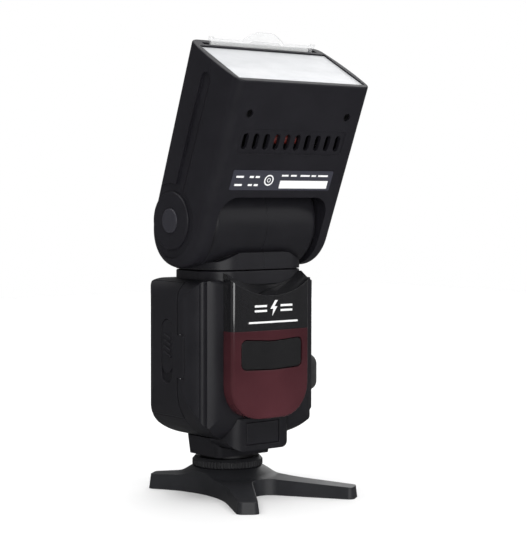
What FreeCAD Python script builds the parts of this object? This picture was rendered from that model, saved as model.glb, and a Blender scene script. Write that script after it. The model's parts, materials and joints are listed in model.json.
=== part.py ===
"""Hot-shoe flash with a tilting, swivelling zoom head, standing in a four-legged mini stand.

Millimetres, +Z up, the front of the flash faces -Y. The origin is on the table, on the axis of
the hot shoe. The head's pieces are modelled upright about the tilt axis and are then leaned
forward by head_tilt.
"""

import FreeCAD, Part
import math
import os
import re

import Sketcher

Vector = FreeCAD.Vector
Rotation = FreeCAD.Rotation
Placement = FreeCAD.Placement

DIMENSIONS = {
    # mini stand
    "front_tip_x": 30.0, "front_tip_y": -53.5, "rear_tip_x": 25.4, "rear_tip_y": 24.0,
    "leg_tip_width": 9.4,
    "stand_top": 10.9, "dome_radius": 15.6, "leg_tip_height": 5.2, "stand_wall": 2.3,
    "insert_radius": 4.5, "insert_bore": 2.6, "insert_height": 5.5,
    # hot shoe and foot
    "foot_width": 18.6, "foot_length": 18.0, "foot_thickness": 2.0, "shoe_floor": 7.0,
    "slot_width": 18.8, "slot_height": 2.1, "lip_gap": 12.6, "stem_radius": 6.1,
    # locking wheel and threaded collar
    "wheel_radius": 15.9, "wheel_bottom": 11.1, "wheel_height": 4.1, "thread_radius": 8.6,
    "flange_radius": 12.4, "flange_bottom": 15.4, "neck_bottom": 16.6,
    # body
    "body_half": 35.3, "body_front": -25.0, "body_rear": 16.0, "body_bottom": 25.0,
    "body_top": 96.0, "belly_radius": 24.0, "shoulder_radius": 9.0, "front_corner": 12.7,
    "rear_corner": 9.0, "wall": 2.2, "seam_y": -15.2, "left_seam_y": -10.5, "top_plate_bottom": 91.5,
    "neck_half": 17.2, "neck_front": -25.6, "neck_rear": 10.0, "neck_step": 20.8,
    "neck_top": 35.2,
    # front cover
    "cover_half": 21.4, "cover_front": -33.0, "cover_bottom": 35.4, "cover_split": 74.0,
    "cover_corner": 15.0, "cover_wall": 2.0, "cover_bow_radius": 140.0, "scoop_radius": 52.0,
    "cover_top": 89.0,
    "sensor_half": 16.6, "sensor_bottom": 57.3, "sensor_top": 70.1,
    # battery side
    "door_edge_x": -31.0, "door_edge_y": -9.8, "hinge_x": -34.3, "hinge_y": -11.1,
    "hinge_low": 53.5, "hinge_high": 72.2, "cell_radius": 7.2, "cell_length": 50.5,
    "cell_pitch": 15.2, "latch_y": -2.6, "latch_recess_half": 4.1, "latch_recess_low": 50.5,
    "latch_recess_high": 78.5, "latch_recess_depth": 1.3,
    # rear controls
    "lcd_half": 22.0, "lcd_low": 64.0, "lcd_high": 88.0, "button_z": 57.8, "dial_z": 43.0,
    "dial_radius": 10.6, "board_y": 10.4, "board_thickness": 1.4,
    # swivel
    "pivot_y": -7.7, "pivot_z": 121.4, "collar_half": 27.0, "collar_depth_half": 18.5,
    "collar_corner": 13.0, "collar_bottom": 93.9, "collar_seam": 100.0, "collar_bore": 13.3,
    "drum_radius": 20.8, "drum_half": 29.3, "neck_arch_top": 107.6, "swivel_tube": 12.9,
    "shaft_radius": 4.0, "shaft_half": 31.8,
    # head, measured from the tilt axis: along the head, across it and towards its face
    "head_tilt": 22.4, "head_half": 36.2, "head_bulge": 37.6, "bulge_radius": 118.4,
    "bulge_y": -3.85, "face_depth": 22.0, "back_depth": 14.3, "back_depth_top": 18.3,
    "face_length": 71.6, "back_length": 76.2, "ear_radius": 19.49, "ear_inner": 29.7, "recess_top": 20.0,
    "back_recess_top": 14.0, "head_wall": 2.2, "head_back_wall": 1.5, "cavity_bottom": 23.2,
    "shell_split": 2.8,
    "cap_recess": 16.4, "cap_radius": 12.7, "cap_outer": 37.3, "cap_seat_x": 34.6,
    "lock_button_radius": 5.4, "side_floor": 36.3, "groove_half": 3.6, "groove_end": 67.8,
    "lens_half": 34.6, "lens_back": 11.4, "lens_face": 19.2, "lens_depth": 0.7,
    "slot_near": 12.9, "slot_far": 15.1, "label_half": 27.7, "label_low": 23.4,
    "label_high": 32.5, "vent_low": 41.6, "vent_high": 48.8, "vent_half": 25.4,
    "vent_width": 2.9, "screw_x": 26.8, "screw_height": 57.5,
    # zoom unit inside the head
    "carriage_low": 46.0, "carriage_length": 16.0, "rail_x": 30.4,
}

doc = FreeCAD.newDocument("speedlight")
sheet = doc.addObject("Spreadsheet::Sheet", "Dims")
for row, (alias, amount) in enumerate(DIMENSIONS.items(), start=1):
    sheet.set(f"A{row}", alias)
    sheet.set(f"B{row}", str(amount))
    sheet.setAlias(f"B{row}", alias)
doc.recompute()

X_AXIS = Vector(1, 0, 0)
Y_AXIS = Vector(0, 1, 0)
Z_AXIS = Vector(0, 0, 1)
ALONG = {"x": Rotation(Y_AXIS, 90), "y": Rotation(X_AXIS, -90), "z": Rotation()}
NORMALS = {"xy": Z_AXIS, "xz": Y_AXIS, "yz": X_AXIS}
PLANES = {"xy": Rotation(), "xz": Rotation(X_AXIS, 90), "yz": Rotation(Vector(1, 1, 1), 120)}
GAP = 0.05
PIN_SPOTS = ((0.0, 0.0, 1.6), (-4.5, 4.6, 0.9), (4.5, 4.6, 0.9), (-4.5, -3.4, 0.9), (4.5, -3.4, 0.9))
NECK_SCREWS = ((-11.6, 7.2), (11.6, 7.2), (-11.6, -9.4), (11.6, -9.4))
BUTTON_XS = (-18.0, -6.0, 6.0, 18.0)
pieces = []


def dim(alias):
    return float(sheet.get(alias))


def bind(thing, path, text):
    """Ties a property to an expression in the sheet's aliases."""
    linked = re.sub(r"[a-z][a-z_]+", lambda word: "Dims." + word.group(), str(text))
    thing.setExpression(path, linked)


def place(thing, at, turned=Rotation()):
    thing.Placement = Placement(Vector(0, 0, 0), turned)
    for axis, text in zip("xyz", at):
        bind(thing, "Placement.Base." + axis, text)


def box(name, low, size):
    """A box from its lowest corner and its size; both may be expressions."""
    solid = doc.addObject("Part::Box", name)
    for side, text in zip(("Length", "Width", "Height"), size):
        bind(solid, side, text)
    place(solid, low)
    return solid


def slab(name, half_x, y, z):
    """A box centred on X: half its width, then (from, to) along Y and along Z."""
    low = (f"-({half_x})", y[0], z[0])
    size = (f"2 * ({half_x})", f"({y[1]}) - ({y[0]})", f"({z[1]}) - ({z[0]})")
    return box(name, low, size)


def cylinder(name, axis, radius, start, length):
    """A cylinder along the axis; start is the centre of its first end."""
    solid = doc.addObject("Part::Cylinder", name)
    bind(solid, "Radius", radius)
    bind(solid, "Height", length)
    place(solid, start, ALONG[axis])
    return solid


def cut(name, base, *tools):
    return join(name, "Part::Cut", base, merge(name + "_tools", *tools))


def join(name, kind, base, tool):
    result = doc.addObject(kind, name)
    result.Base = base
    result.Tool = tool
    return result


def merge(name, *solids):
    """The union of the solids, or the solid itself when there is only one."""
    if len(solids) == 1:
        return solids[0]
    result = doc.addObject("Part::MultiFuse", name)
    result.Shapes = list(solids)
    return result


def common(name, *solids):
    result = doc.addObject("Part::MultiCommon", name)
    result.Shapes = list(solids)
    return result


def compound(name, *solids):
    result = doc.addObject("Part::Compound", name)
    result.Links = list(solids)
    return result


def copy_of(name, source):
    """A second use of a solid that already belongs to another piece."""
    result = doc.addObject("Part::Compound", name)
    result.Links = [source]
    return result


def rounded_corners(corners):
    """Lines and arcs of a closed outline. Each corner is (x, y, radius)."""
    starts, ends, arcs = [], [], []
    count = len(corners)
    for index, (x, y, radius) in enumerate(corners):
        here = Vector(x, y, 0)
        before = (Vector(*corners[index - 1][:2], 0) - here).normalize()
        after = (Vector(*corners[(index + 1) % count][:2], 0) - here).normalize()
        half = before.getAngle(after) / 2
        reach = radius / math.tan(half)
        start = here + before * reach
        end = here + after * reach
        middle = here + (before + after).normalize() * (radius / math.sin(half) - radius)
        starts.append(start)
        ends.append(end)
        if radius > 0:
            arcs.append(Part.Arc(start, middle, end))
    lines = []
    for index in range(count):
        line_start, line_end = ends[index], starts[(index + 1) % count]
        if (line_end - line_start).Length > 1e-4:
            lines.append(Part.LineSegment(line_start, line_end))
    return lines + arcs


def sketch(name, plane, corners, offset="0"):
    """A closed outline with rounded corners, drawn on a plane offset along its normal."""
    outline = doc.addObject("Sketcher::SketchObject", name)
    outline.addGeometry(rounded_corners(corners), False)
    shift = NORMALS[plane]
    place(outline, [f"({offset}) * {component:.0f}" for component in shift], PLANES[plane])
    return outline


def extrude(name, plane, corners, span, taper=0.0):
    """The outline extruded along the plane's normal from span[0] to span[1]."""
    solid = doc.addObject("Part::Extrusion", name)
    solid.Base = sketch(name + "_outline", plane, corners, span[0])
    solid.DirMode = "Custom"
    solid.Dir = NORMALS[plane]
    solid.Solid = True
    solid.TaperAngle = taper
    bind(solid, "LengthFwd", f"({span[1]}) - ({span[0]})")
    return solid


def rectangle(low_x, low_y, high_x, high_y, radius):
    return [(low_x, low_y, radius), (high_x, low_y, radius),
            (high_x, high_y, radius), (low_x, high_y, radius)]


def fillet(name, base, radius, wanted=None):
    """Rounds the edges of base that the test accepts, or all of them."""
    doc.recompute()
    edges = [index + 1 for index, edge in enumerate(base.Shape.Edges)
             if wanted is None or wanted(edge)]
    result = doc.addObject("Part::Fillet", name)
    result.Base = base
    result.Edges = [(index, radius, radius) for index in edges]
    return result


def piece(name, solid):
    """Names a finished piece of the object after its file."""
    solid.Label = name
    pieces.append(solid)
    return solid


def head_piece(name, solid):
    """A finished piece of the head: upright about the tilt axis, then leaned forward."""
    if solid.TypeId == "Part::Cut" or solid.TypeId.startswith("Part::Multi"):
        moved = solid
    else:
        moved = copy_of(name + "_leaned", solid)
    moved.Placement = Placement(Vector(0, 0, 0), Rotation(X_AXIS, dim("head_tilt")))
    bind(moved, "Placement.Rotation.Angle", "head_tilt")
    bind(moved, "Placement.Base.y", "pivot_y")
    bind(moved, "Placement.Base.z", "pivot_z")
    return piece(name, moved)


# ---------------------------------------------------------------- mini stand

def stand_outline():
    """Four splayed legs: two reach far forward, two stop close behind the shoe."""
    corners = []
    front = (dim("front_tip_x"), dim("front_tip_y"), -12.0)
    rear = (dim("rear_tip_x"), dim("rear_tip_y"), -10.0)
    for side, (tip_x, tip_y, hub_y), crotch in (
        (1, front, (0.0, -18.5, 7.5)),
        (1, rear, (10.8, -6.0, 46.0)),
        (-1, rear, (0.0, 8.5, 10.0)),
        (-1, front, (-10.8, -6.0, 46.0)),
    ):
        tip = Vector(side * tip_x, tip_y, 0)
        along = (tip - Vector(0, hub_y, 0)).normalize()
        across = Vector(-along.y, along.x, 0) * (dim("leg_tip_width") / 2)
        corners.append(crotch)
        corners.append((tip.x - across.x, tip.y - across.y, 2.6))
        corners.append((tip.x + across.x, tip.y + across.y, 2.6))
    return corners


def stand_crown(name, lowered):
    """The top of the stand as a turned shape: a dome round the shoe, then a gentle slope."""
    top = dim("stand_top") - lowered
    tip = dim("leg_tip_height") - lowered
    dome = dim("dome_radius") - lowered / 2
    profile = [(0, -1, 0), (66, -1, 0), (66, tip - 0.4, 0), (dome + 6.0, tip + 2.0, 7.0),
               (dome, top, 1.2), (0, top, 0)]
    turned = doc.addObject("Part::Revolution", name)
    turned.Source = sketch(name + "_profile", "xz", profile)
    turned.Axis = Z_AXIS
    turned.Angle = 360
    turned.Solid = True
    return turned


def build_stand():
    legs = extrude("stand_legs", "xy", stand_outline(), ("0", "stand_top + 1"), -7.0)
    shell = common("stand_shell", legs, stand_crown("stand_crown", 0.0))
    shrunk = doc.addObject("Part::Offset2D", "stand_hollow_outline")
    shrunk.Source = sketch("stand_hollow_sketch", "xy", stand_outline())
    bind(shrunk, "Value", "-stand_wall")
    hollow_legs = doc.addObject("Part::Extrusion", "stand_hollow_legs")
    hollow_legs.Base = shrunk
    hollow_legs.DirMode = "Custom"
    hollow_legs.Dir = Z_AXIS
    hollow_legs.Solid = True
    bind(hollow_legs, "LengthFwd", "stand_top")
    hollow = common("stand_hollow", hollow_legs, stand_crown("stand_hollow_crown", 2.4))
    boss_core = cylinder("boss_core", "z", "insert_radius + 3.2", (0, 0, 0), "shoe_floor")
    boss_block = slab("boss_block", "slot_width / 2 + 2", ("-foot_length / 2 - 2", "9"),
                      ("shoe_floor - 2.2", "stand_top"))
    boss = merge("stand_boss", boss_core, boss_block)
    hollow_clear = cut("stand_hollow_clear", hollow, boss)
    slot = slab("shoe_slot", "slot_width / 2", ("-foot_length / 2 - 0.4", "40"),
                ("shoe_floor", "shoe_floor + slot_height"))
    gap = slab("shoe_gap", "lip_gap / 2", ("-lip_gap / 2", "40"), ("shoe_floor", "stand_top + 1"))
    channel = slab("shoe_channel", "6.5", ("-foot_length / 2 - 0.4", "40"),
                   ("shoe_floor - 0.5", "shoe_floor + 0.1"))
    seat = cylinder("insert_seat", "z", "insert_radius", (0, 0, -1), "insert_height + 1")
    piece("stand_base", cut("stand_base", shell, hollow_clear, slot, gap, channel, seat))
    insert = cylinder("insert_body", "z", "insert_radius", (0, 0, 0), "insert_height")
    bore = cylinder("insert_hole", "z", "insert_bore", (0, 0, -1), "insert_height + 2")
    piece("stand_thread_insert", cut("stand_thread_insert", insert, bore))


# ---------------------------------------------------------------- foot and locking wheel

def build_foot():
    plate = slab("foot_blank", "foot_width / 2", ("-foot_length / 2", "foot_length / 2"),
                 (f"shoe_floor + {GAP}", f"shoe_floor + foot_thickness + {GAP}"))
    holes = [cylinder(f"pin_hole_{i}", "z", r, (x, y, 0), 20) for i, (x, y, r) in enumerate(PIN_SPOTS)]
    rounded = fillet("foot_rounded", plate, 1.2, is_upright)
    piece("foot_plate", cut("foot_plate", rounded, *holes))
    pins = [cylinder(f"pin_{i}", "z", r, (x, y, "shoe_floor - 0.25"), "foot_thickness + 0.2")
            for i, (x, y, r) in enumerate(PIN_SPOTS)]
    piece("contact_pins", compound("contact_pins", *pins))


def is_upright(edge):
    run = edge.Vertexes[-1].Point - edge.Vertexes[0].Point
    return math.hypot(run.x, run.y) < 1e-3 and abs(run.z) > 1e-3


def build_threaded_collar():
    bottom = f"shoe_floor + foot_thickness + {GAP}"
    stem = cylinder("collar_stem", "z", "stem_radius", (0, 0, bottom), f"wheel_bottom - ({bottom})")
    thread = cylinder("collar_thread", "z", "thread_radius", (0, 0, "wheel_bottom - 0.1"),
                      "flange_bottom - wheel_bottom + 0.2")
    flange = cylinder("collar_flange", "z", "flange_radius", (0, 0, "flange_bottom"),
                      "neck_bottom - flange_bottom")
    bore = cylinder("collar_hole", "z", 2.6, (0, 0, 0), 30)
    solid = merge("collar_solid", stem, thread, flange)
    piece("threaded_collar", cut("threaded_collar", solid, bore))


def build_lock_wheel():
    """A PartDesign wheel: a turned blank with a ring of finger grooves."""
    body = doc.addObject("PartDesign::Body", "lock_ring")
    planes = {plane.Role: plane for plane in body.Origin.OriginFeatures}
    profile = body.newObject("Sketcher::SketchObject", "wheel_profile")
    profile.AttachmentSupport = [(planes["XZ_Plane"], "")]
    profile.MapMode = "FlatFace"
    inner = dim("thread_radius") + GAP
    outer = dim("wheel_radius")
    low = dim("wheel_bottom")
    high = low + dim("wheel_height")
    corners = [(inner, low, 0), (outer - 0.5, low, 0.3), (outer, low + 0.5, 0.3),
               (outer, high - 1.5, 0.5), (outer - 1.4, high, 0.4), (inner, high, 0)]
    profile.addGeometry(rounded_corners(corners), False)
    blank = body.newObject("PartDesign::Revolution", "wheel_blank")
    blank.Profile = profile
    blank.ReferenceAxis = (profile, ["V_Axis"])
    blank.Angle = 360
    doc.recompute()
    groove_sketch = body.newObject("Sketcher::SketchObject", "groove_sketch")
    groove_sketch.AttachmentSupport = [(planes["XY_Plane"], "")]
    groove_sketch.MapMode = "FlatFace"
    groove_sketch.AttachmentOffset = Placement(Vector(0, 0, high), Rotation())
    groove_sketch.addGeometry(Part.Circle(Vector(outer + 0.2, 0, 0), Z_AXIS, 0.55), False)
    groove = body.newObject("PartDesign::Pocket", "wheel_groove")
    groove.Profile = groove_sketch
    groove.Type = "Length"
    bind(groove, "Length", "wheel_height")
    grooves = body.newObject("PartDesign::PolarPattern", "wheel_grooves")
    grooves.Originals = [groove]
    grooves.Axis = (groove_sketch, ["N_Axis"])
    grooves.Angle = 360
    grooves.Occurrences = 64
    body.Tip = grooves
    doc.recompute()
    return piece("lock_ring", body)


def build_neck():
    half, front, rear = dim("neck_half"), dim("neck_front"), dim("neck_rear")
    lower = extrude("neck_lower", "xy", rectangle(-half + 2.4, -12.5, half - 2.4, rear, 2.5),
                    ("neck_bottom", "body_bottom"), 7.0)
    upper_plan = [(-half, front, 6.5), (half, front, 6.5), (half, -9.0, 1.5), (-half, -9.0, 1.5)]
    upper_front = [(-half - 0.6, dim("neck_step"), 7.5), (half + 0.6, dim("neck_step"), 7.5),
                   (half + 0.6, dim("neck_top"), 0), (-half - 0.6, dim("neck_top"), 0)]
    upper = common("neck_upper",
                   extrude("neck_upper_plan", "xy", upper_plan, ("neck_step", "neck_top")),
                   extrude("neck_upper_front", "xz", upper_front, ("neck_front - 1", "0")))
    saddle = casing("neck_saddle", -GAP, dim("body_top"))
    hollow = slab("neck_hollow", "neck_half - 4.5", ("neck_front + 2.6", "neck_rear - 2.5"),
                  ("neck_step + 1.8", "neck_top - 5"))
    wire_way = cylinder("neck_wire_way", "z", 3.0, (0, 0, 10), 20)
    pocket = slab("neck_panel_pocket", "9.25", ("neck_front - 1", "neck_front + 0.8"), ("23.3", "33.4"))
    screws = [cylinder(f"neck_screw_hole_{i}", "z", 1.62, (x, y, 10), 11)
              for i, (x, y) in enumerate(NECK_SCREWS)]
    solid = merge("neck_solid", lower, upper)
    piece("neck_block", cut("neck_block", solid, saddle, hollow, wire_way, pocket, *screws))
    panel = slab("neck_panel_blank", "9.0", ("neck_front", "neck_front + 0.75"), ("23.55", "33.15"))
    piece("neck_front_panel", fillet("neck_front_panel", panel, 0.4, on_front))
    screw_solids = []
    for i, (x, y) in enumerate(NECK_SCREWS):
        screw = cylinder(f"neck_screw_{i}", "z", 1.6, (x, y, "neck_bottom + 0.6"), 3.2)
        drive = box(f"neck_drive_{i}", (x - 0.9, y - 0.2, 16), (1.8, 0.4, 1.6))
        screw_solids.append(cut(f"neck_screw_cut_{i}", screw, drive))
    piece("neck_screws", compound("neck_screws", *screw_solids))


def on_front(edge):
    """Edges that lie wholly on the piece's foremost plane."""
    front = min(vertex.Y for vertex in edge.Vertexes)
    back = max(vertex.Y for vertex in edge.Vertexes)
    return back - front < 1e-3 and abs(front - dim("neck_front")) < 1e-3


# ---------------------------------------------------------------- body casing

def casing(name, inset, top):
    """The body's outer form, or its inner one: three rounded outlines that cross."""
    half, bottom = dim("body_half") - inset, dim("body_bottom") + inset
    front, rear = dim("body_front") + inset, dim("body_rear") - inset
    belly, shoulder = dim("belly_radius") - inset, dim("shoulder_radius") - inset
    face = [(-half, bottom, belly), (half, bottom, belly),
            (half, top, shoulder), (-half, top, shoulder)]
    front_round, rear_round = dim("front_corner") - inset, dim("rear_corner") - inset
    plan = [(-half, front, front_round), (half, front, front_round),
            (half, rear, rear_round), (-half, rear, rear_round)]
    side = [(front, bottom, 12.5 - inset), (rear, bottom, 7.0 - inset),
            (rear, top, 5.0 - inset), (front, top, 2.4 - inset)]
    return common(name,
                  extrude(name + "_face", "xz", face, ("-60", "60")),
                  extrude(name + "_plan", "xy", plan, ("0", "120")),
                  extrude(name + "_side", "yz", side, ("-60", "60")))


def collar_plan(grow):
    half, depth = dim("collar_half") + grow, dim("collar_depth_half") + grow
    middle = dim("pivot_y")
    return rectangle(-half, middle - depth, half, middle + depth, dim("collar_corner") + grow)


def stadium(centre_y, half, low, high):
    """A tall slot with round ends, in Y and Z."""
    return rectangle(centre_y - half, low, centre_y + half, high, half - 0.01)


def build_casing():
    outer = casing("body_outer", 0.0, dim("body_top"))
    inner = casing("body_inner", dim("wall"), dim("top_plate_bottom"))
    flutes = [cylinder(f"flute_{side}", "z", 1.9, flute_centre(sign), 120)
              for side, sign in (("left", -1), ("right", 1))]
    collar_seat = extrude("collar_seat", "xy", collar_plan(0.1), ("collar_bottom", "body_top + 2"))
    tube_way = cylinder("tube_way", "z", "collar_bore + 0.2", (0, "pivot_y", 60), 60)
    wire_way = slab("body_wire_way", "6", ("-9", "6"), ("20", "30"))
    shell = cut("body_shell", outer, inner, *flutes, collar_seat, tube_way, wire_way)

    front_zone = merge("front_zone",
                       box("front_zone_left", (-60, -60, 0), (60, "left_seam_y + 60", 120)),
                       box("front_zone_right", (-0.5, -60, 0), (60.5, "seam_y + 60", 120)))
    cover_way = slab("cover_way", "cover_half - 3", ("-26", "-20"), ("cover_bottom + 6", "cover_top - 4"))
    hinge_way = box("hinge_way", ("-body_half - 3", "hinge_y - 3.95", "hinge_low - 0.3"),
                    (6.5, 10, "hinge_high - hinge_low + 0.6"))
    pin_way = cylinder("pin_way", "z", 0.62, ("hinge_x", "hinge_y", "hinge_low - 4"),
                       "hinge_high - hinge_low + 8")
    front = common("front_half", shell, front_zone)
    piece("front_housing", cut("front_housing", front, cover_way, hinge_way, pin_way))

    rear_zone = merge("rear_zone",
                      box("rear_zone_left", ("door_edge_x + 0.15", "left_seam_y + 0.25", 0), (60, 60, 120)),
                      box("rear_zone_right", (0.25, "seam_y + 0.25", 0), (60, 60, 120)))
    lcd_way = slab("lcd_way", "lcd_half + 0.1", ("10", "20"), ("lcd_low - 0.1", "lcd_high + 0.1"))
    dial_way = cylinder("dial_way", "y", "dial_radius + 0.2", (0, 10, "dial_z"), 10)
    button_ways = [slot_box(f"button_way_{i}", x, 4.2, "button_z", 2.4, 0.15)
                   for i, x in enumerate(BUTTON_XS, 1)]
    test_way = slot_box("test_way", 20.5, 4.0, "dial_z", 4.0, 0.15)
    switch_way = slot_box("switch_way", -20.5, 2.2, "dial_z", 4.6, 0.0)
    port_way = box("port_way", ("body_half - 4", -12.6, 45.0), (6, 8.2, 11.0))
    port_rebate = box("port_rebate", ("body_half - 0.8", -14.1, 42.0), (6, 11.3, 17.8))
    rear = common("rear_half", shell, rear_zone)
    piece("rear_housing", cut("rear_housing", rear, lcd_way, dial_way, *button_ways, test_way,
                              switch_way, port_way, port_rebate))
    return outer, shell


def flute_centre(sign):
    """A point just outside the rounded front corner, where a shallow flute runs up the body."""
    turn = math.radians(38)
    reach = dim("front_corner") + 0.6
    x = dim("body_half") - dim("front_corner") + reach * math.sin(turn)
    return (sign * x, dim("body_front") + dim("front_corner") - reach * math.cos(turn), 0)


def slot_box(name, x, half_x, z, half_z, gap):
    """An opening through the rear wall round the point (x, z)."""
    low = (x - half_x - gap, 11, f"{z} - {half_z + gap}")
    return box(name, low, (2 * (half_x + gap), 9, 2 * (half_z + gap)))


def build_battery_door(outer, shell):
    door_zone = box("door_zone", (-60, "door_edge_y", 0), ("60 + door_edge_x - 0.15", 60, 120))
    skin = common("door_skin", shell, door_zone)
    tab_box = box("tab_box", ("-body_half - 1", "hinge_y - 3.6", "hinge_low"),
                  (3.0, 6.2, "hinge_high - hinge_low"))
    tab = common("door_tab", tab_box, outer)
    bore = cylinder("tab_bore", "z", 0.65, ("hinge_x", "hinge_y", 30), 60)
    low, high = dim("latch_recess_low"), dim("latch_recess_high")
    recess = extrude("latch_recess", "yz",
                     stadium(dim("latch_y"), dim("latch_recess_half"), low, high),
                     ("-body_half - 1", "-body_half + latch_recess_depth"))
    piece("battery_door", cut("battery_door", merge("door_with_tab", skin, tab), bore, recess))
    pin = cylinder("door_hinge_pin", "z", 0.6, ("hinge_x", "hinge_y", "hinge_low - 3.8"),
                   "hinge_high - hinge_low + 7.6")
    piece("door_hinge_pin", pin)
    plates = [box(f"door_plate_{i}", (-31.8, -7.4, z), (1.4, 14.0, 8.0))
              for i, z in enumerate((42.8, 54.0))]
    carrier_block = box("door_carrier_block", (-34.0, -8.0, 40.0), (2.6, 15.2, 23.0))
    carrier = common("door_carrier", carrier_block,
                     casing("door_inside", dim("wall") + 0.15, dim("top_plate_bottom")))
    piece("door_contacts", merge("door_contacts", carrier, *plates))

    half = dim("latch_recess_half") - 0.3
    slider = extrude("latch_slider", "yz", stadium(dim("latch_y"), half, low + 4.6, high - 0.3),
                     ("-body_half + 0.1", f"-body_half + latch_recess_depth - {GAP}"))
    ridges = []
    for i in range(4):
        ridge = box(f"latch_ridge_{i}", (0, 0, 0), (0.9, 5.2, 1.1))
        place(ridge, ("-body_half - 0.4", "latch_y - 2.6", low + 11.0 + 2.6 * i), Rotation(X_AXIS, 20))
        ridges.append(ridge)
    piece("battery_latch", merge("battery_latch", slider, *ridges))


def build_batteries():
    pitch = dim("cell_pitch")
    centres = [(y, z) for y in (-13.0, -13.0 + pitch) for z in (43.6, 43.6 + pitch)]
    block = box("tray_block", (-27.9, -21.1, 35.4), ("cell_length + 1.4", 31.1, 31.6))
    bores = [cylinder(f"tray_bore_{i}", "x", "cell_radius + 0.2", (-28.5, y, z), "cell_length + 0.8")
             for i, (y, z) in enumerate(centres)]
    piece("battery_tray", cut("battery_tray", block, *bores))
    cells = []
    for i, (y, z) in enumerate(centres):
        can = cylinder(f"cell_can_{i}", "x", "cell_radius", (-27.7, y, z), "cell_length - 1.2")
        knob = cylinder(f"cell_knob_{i}", "x", 2.6, (-28.7, y, z), 3)
        cells.append(merge(f"cell_{i}", can, knob))
    piece("battery_cells", compound("battery_cells", *cells))


def build_electronics():
    piece("main_board", box("main_board", (24.4, -19.5, 42.0), (1.6, 28.0, 44.0)))
    piece("display_board", slab("display_board", "29", ("board_y", "board_y + board_thickness"),
                                ("38", "87")))
    can = cylinder("capacitor_can", "x", 10.0, (-25, -4, 77.7), 44)
    piece("main_capacitor", fillet("main_capacitor", can, 1.2))
    piece("lcd_panel", slab("lcd_panel", "lcd_half - 1", ("12.0", "14.2"),
                            ("lcd_low + 1", "lcd_high - 1")))
    lamps = []
    for side in (-1, 1):
        barrel = cylinder(f"lamp_{side + 1}", "y", 2.4, (8 * side, -27.5, 47), 4)
        dome = doc.addObject("Part::Sphere", f"lamp_dome_{side + 1}")
        dome.Radius = 2.4
        place(dome, (8 * side, -27.5, 47))
        lamps.append(merge(f"lamp_full_{side + 1}", barrel, dome))
    holder = slab("lamp_holder", "13", ("-23.5", "-22.6"), ("43", "51"))
    piece("af_lamps", compound("af_lamps", *lamps, holder))


# ---------------------------------------------------------------- front cover

def cover_outline(inset, top):
    half, low = dim("cover_half") - inset, dim("cover_bottom") + inset
    return [(-half, low, dim("cover_corner") - inset), (half, low, dim("cover_corner") - inset),
            (half, top, 0), (-half, top, 0)]


def bowed_front(name, depth):
    """A tall cylinder whose surface gives the cover its slight bow across the front."""
    radius = dim("cover_bow_radius")
    return cylinder(name, "z", radius, (0, dim("cover_front") + depth + radius, 20), 90)


def build_cover():
    block = common("cover_block",
                   extrude("cover_face", "xz", cover_outline(0.0, 99.0), ("cover_front", "body_front")),
                   bowed_front("cover_bow", 0.0))
    inner = common("cover_inner",
                   extrude("cover_inner_face", "xz", cover_outline(dim("cover_wall"), 95.0),
                           ("cover_front", "body_front + 1")),
                   bowed_front("cover_inner_bow", dim("cover_wall")))
    rounded = fillet("cover_rounded", block, 1.6, on_cover_front)
    shaped = cut("cover_shaped", rounded, cover_scoop())
    collar_way = extrude("cover_collar_way", "xy", collar_plan(0.3), ("collar_bottom - 0.4", "110"))
    upper_zone = slab("upper_zone", "40", ("-60", "0"), ("cover_split + 0.02", "100"))
    lower_zone = slab("lower_zone", "40", ("-60", "0"), ("10", "cover_split - 0.02"))
    upper_inner = slab("upper_inner_zone", "40", ("-60", "0"), ("10", "cover_top - 3.5"))
    upper_hollow = common("upper_hollow", inner, upper_inner)
    upper = common("cover_upper", shaped, upper_zone)
    piece("front_cover", cut("front_cover", upper, upper_hollow, collar_way))
    lower = common("cover_lower", shaped, lower_zone)
    window_way = extrude("sensor_way", "xz", sensor_outline(0.45), ("-40", "-26"))
    piece("af_window", cut("af_window", lower, inner, window_way))
    pane = common("sensor_pane",
                  extrude("sensor_face", "xz", sensor_outline(0.0), ("-36", "cover_front + 2.4")),
                  bowed_front("sensor_bow", 0.35))
    piece("sensor_window", pane)


def cover_scoop():
    """The sloping cylinder that hollows the top of the cover, low in front and high behind."""
    slope = 33.0
    run_in = 60.0
    drop = run_in * math.tan(math.radians(slope))
    lift = 1 / math.cos(math.radians(slope))
    scoop = doc.addObject("Part::Cylinder", "cover_scoop")
    bind(scoop, "Radius", "scoop_radius")
    scoop.Height = 120
    middle = f"cover_top - {drop:.3f} + scoop_radius * {lift:.4f}"
    place(scoop, (0, f"cover_front - {run_in}", middle), Rotation(X_AXIS, -90 + slope))
    return scoop


def on_cover_front(edge):
    """The long front edges of the cover's sides and bottom."""
    limit = dim("cover_front") + 2.5
    in_front = all(vertex.Y < limit for vertex in edge.Vertexes)
    return in_front and min(vertex.Z for vertex in edge.Vertexes) < 95


def sensor_outline(grow):
    """A wide window whose top edge dips a little in the middle."""
    half = dim("sensor_half") + grow
    low, high = dim("sensor_bottom") - grow, dim("sensor_top") + grow
    return [(-half, low + 0.3, 2.4 + grow), (0, low - 0.3, 60), (half, low + 0.3, 2.4 + grow),
            (half, high, 2.4 + grow), (0, high - 1.1, 60), (-half, high, 2.4 + grow)]


# ---------------------------------------------------------------- rear controls and sockets

def cap(name, x, half_x, z, half_z, low_y, high_y, radius):
    """A push button or plate set in the rear wall, with softened outer edges."""
    z_mid = dim(z)
    outline = rectangle(x - half_x, z_mid - half_z, x + half_x, z_mid + half_z, radius)
    blank = extrude(name + "_blank", "xz", outline, (low_y, high_y))
    return piece(name, fillet(name, blank, 0.4, behind(float(high_y) - 0.1)))


def behind(y):
    """A test for the edges that lie wholly behind a plane."""
    return lambda edge: all(vertex.Y > y for vertex in edge.Vertexes)


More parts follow.
